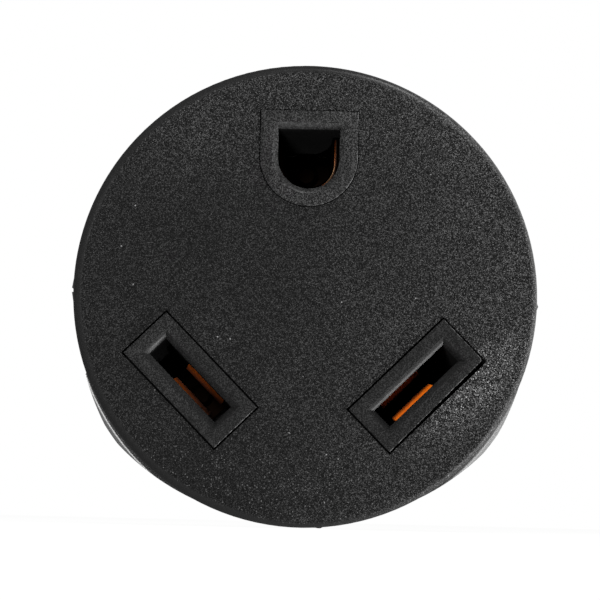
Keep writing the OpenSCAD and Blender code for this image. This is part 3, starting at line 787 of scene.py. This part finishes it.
# %% [markdown]
# The lands of the carrier have a fine round along their rims. The right land also sits a little unevenly
# in its window: its outer wall is drawn in, more so towards its upper end, and one corner is rounder.
# The wall's vertices are drawn in by an amount that grows along the land. The small round at the corner
# already is an arc, and scaling an arc about the sharp corner that it replaces makes a larger round of it.

# %% Carrier lands
LAND_ROUNDING = 0.06 * MM
LAND_TOP = -40.2 * MM
LAND_RIM_FROM = 1.2
LAND_FOOT = -37.7 * MM
OUTER_WALL = 19.8 * MM
EASE_LEAST = 0.15 * MM
EASE_SLOPE = 0.017
EASE_START = 2 * MM
SHARP_CORNER = Vector((20.69 * MM, 0, -7.13 * MM))
CORNER_WITHIN = 0.2 * MM
CORNER_GROWS = 4


def is_land_rim(edge):
    return furthest_back(edge) < LAND_TOP and edge.calc_face_angle() > LAND_RIM_FROM


def ease_right_land(form):
    land = [v for v in form.verts if v.co.y < LAND_FOOT]
    for v in land:
        along = (v.co.x + v.co.z) * SLANT
        across = (v.co.x - v.co.z) * SLANT
        if across > OUTER_WALL:
            ease = EASE_LEAST + EASE_SLOPE * (along - EASE_START)
            v.co.x -= ease * SLANT
            v.co.z += ease * SLANT
    corner = [v for v in land if (v.co - SHARP_CORNER).xz.length < CORNER_WITHIN]
    growth = (CORNER_GROWS, 1, CORNER_GROWS)
    bmesh.ops.scale(form, vec=growth, space=Matrix.Translation(-SHARP_CORNER), verts=corner)
    print("right land eased,", len(corner), "corner vertices")


rounded("contact_carrier", LAND_ROUNDING, is_land_rim, ease_right_land)

# %% [markdown]
# The mould for the jacket parts along the middle, and the parting leaves small flashes on the collar.
# Each flash is a low bank that follows the collar's round wall. A curve with a bevel could follow it too,
# but the bank's height changes along it. A few vertices give its front as one face, from a root inside
# the collar up to a row of heights, and an extrude pulls that face along the collar's depth.

# %% Parting flashes
COLLAR_R = 27.0 * MM
FLASH_ROOT = 0.1 * MM
FLASH_FRONT = -39.0 * MM
FLASH_BACK = -31.6 * MM


def flash(name, start, step, heights):
    form = bmesh.new()
    crest = []
    root = []
    for i, height in enumerate(heights):
        turn = math.radians(start + i * step)
        outward = Vector((math.cos(turn), 0, math.sin(turn)))
        front = Vector((0, FLASH_FRONT, 0))
        crest.append(form.verts.new(outward * (COLLAR_R + height * MM) + front))
        root.append(form.verts.new(outward * (COLLAR_R - FLASH_ROOT) + front))
    bank = form.faces.new(crest + root[::-1])
    pulled = bmesh.ops.extrude_face_region(form, geom=[bank])["geom"]
    moved = [v for v in pulled if isinstance(v, bmesh.types.BMVert)]
    bmesh.ops.translate(form, verts=moved, vec=(0, FLASH_BACK - FLASH_FRONT, 0))
    bmesh.ops.recalc_face_normals(form, faces=form.faces)
    piece = finished(form, name, "jacket")
    print(name, len(piece.data.polygons), "faces")


flash("flash_left_upper", start=177.2, step=0.8, heights=(0.0, 0.05, 0.1, 0.16))
flash("flash_left_lower", start=180.7, step=0.8, heights=(0.16, 0.1, 0.05, 0.0))
flash("flash_right", start=-2.4, step=0.45, heights=(0.0, 0.06, 0.16, 0.05, 0.0))
flash("flash_bottom", start=-86.2, step=0.6, heights=(0.0, 0.08, 0.1, 0.0))

# %% [markdown]
# Every other node is right as it is, and only needs its finish.
# Assigning to the material slots leaves the mesh alone.

# %% Finishes on the CAD nodes
for name, node in frame["nodes"].items():
    node.data.materials.clear()
    node.data.materials.append(finish_of[slot_of[name]])
print("finishes on", len(frame["nodes"]), "nodes")

# %% [markdown]
# The stage is a pale paper floor under the adapter, lit through like a light table. To the camera and
# in reflections it is nearly plain white, with a faint shadow on it. It casts no shadow itself,
# so a lamp may stand below its level.

# %% Floor
FLOOR_SIZE = 1.6
PAPER_TOOTH = (400.0, 2.0, 0.5)
PAPER_TONES = (grey(0.82), grey(0.86))
GLOW_TO_CAMERA = 0.97
GLOW_TO_OBJECT = 0.5

floor_form = bmesh.new()
bmesh.ops.create_grid(floor_form, x_segments=1, y_segments=1, size=FLOOR_SIZE / 2)
bmesh.ops.translate(floor_form, verts=floor_form.verts, vec=(0, 0, cad_box[0][2] - FLASH_ROOT))
floor_mesh = bpy.data.meshes.new("floor")
floor_form.to_mesh(floor_mesh)
floor_form.free()
floor = bpy.data.objects.new("floor", floor_mesh)
scene.collection.objects.link(floor)
floor.visible_shadow = False
floor_paper, r = new_finish("floor_paper")
ray = r.node("ShaderNodeLightPath")
seen = ray["Is Camera Ray"] + ray["Is Glossy Ray"] + ray["Is Transmission Ray"]
glowing = seen * GLOW_TO_CAMERA + ray["Is Diffuse Ray"] * GLOW_TO_OBJECT
paper_tone = r.blend(r.noise(r.place(), *PAPER_TOOTH), *PAPER_TONES)
paper = r.node("ShaderNodeBsdfDiffuse", None, {"Color": paper_tone})["BSDF"]
glow = r.node("ShaderNodeEmission", None, {"Color": grey(1.0), "Strength": 1.0})["Emission"]
lit = r.node("ShaderNodeMixShader", None, {0: glowing, 1: paper, 2: glow})["Shader"]
r.node("ShaderNodeOutputMaterial", None, {"Surface": lit})
floor_mesh.materials.append(floor_paper)
print("floor", FLOOR_SIZE, "m")

# %% [markdown]
# The world is white to the camera and to reflections from behind, and a dim grey everywhere else,
# so nothing is overlit. It is darkest in front of the face, where a bright sky would wash out the grain.

# %% World
AMBIENT = 0.12
FRONT_AMBIENT = 0.04
FRONT_DARK = math.cos(math.radians(38))
FRONT_FULL = math.cos(math.radians(58))
BEHIND_FROM = (0.0, 0.35)

world = bpy.data.worlds.new("studio")
world.use_nodes = True
scene.world = world
r = Recipe(world.node_tree)
ray = r.node("ShaderNodeLightPath")
toward = r.node("ShaderNodeTexCoord")["Generated"]
depth = r.axes(toward)[1]
white = ray["Is Camera Ray"] + ray["Is Transmission Ray"] + ray["Is Glossy Ray"] * r.ramp(depth, *BEHIND_FROM)
around = r.ramp(depth, -FRONT_DARK, -FRONT_FULL, FRONT_AMBIENT, AMBIENT)
level = white + (1 - white) * around
sky = r.node("ShaderNodeBackground", None, {"Color": grey(1.0), "Strength": level})["Background"]
r.node("ShaderNodeOutputWorld", None, {"Surface": sky})
print("world ready")

# %% [markdown]
# Three soft lamps shape the face. The key hangs in front, up and to the left, and lights the right slot.
# A rake lamp low on the right skims the grain, which is why that side glitters, and a top lamp draws
# the upper rim. All three look where the camera looks. Each is described by where it stands, how large it is
# and how bright a white card would look in it.

# %% Lamps
def soft_lamp(name, place, width, height, card_level):
    data = bpy.data.lights.new(name, "AREA")
    data.shape = "RECTANGLE"
    data.size = width
    data.size_y = height
    away = Vector(place) - aim
    data.energy = card_level * math.pi ** 2 * away.length_squared
    lamp = bpy.data.objects.new(name, data)
    lamp.location = place
    lamp.rotation_euler = away.to_track_quat("Z", "Y").to_euler()
    scene.collection.objects.link(lamp)
    print(name, round(data.energy, 2), "W")


soft_lamp("key", place=(-0.11, -0.62, 0.11), width=0.1, height=0.1, card_level=2.0)
soft_lamp("rake", place=(0.33, -0.1, -0.25), width=0.14, height=0.18, card_level=3.0)
soft_lamp("top", place=(0.04, -0.16, 0.25), width=0.16, height=0.1, card_level=1.1)

# %% Finish
print("scene built")
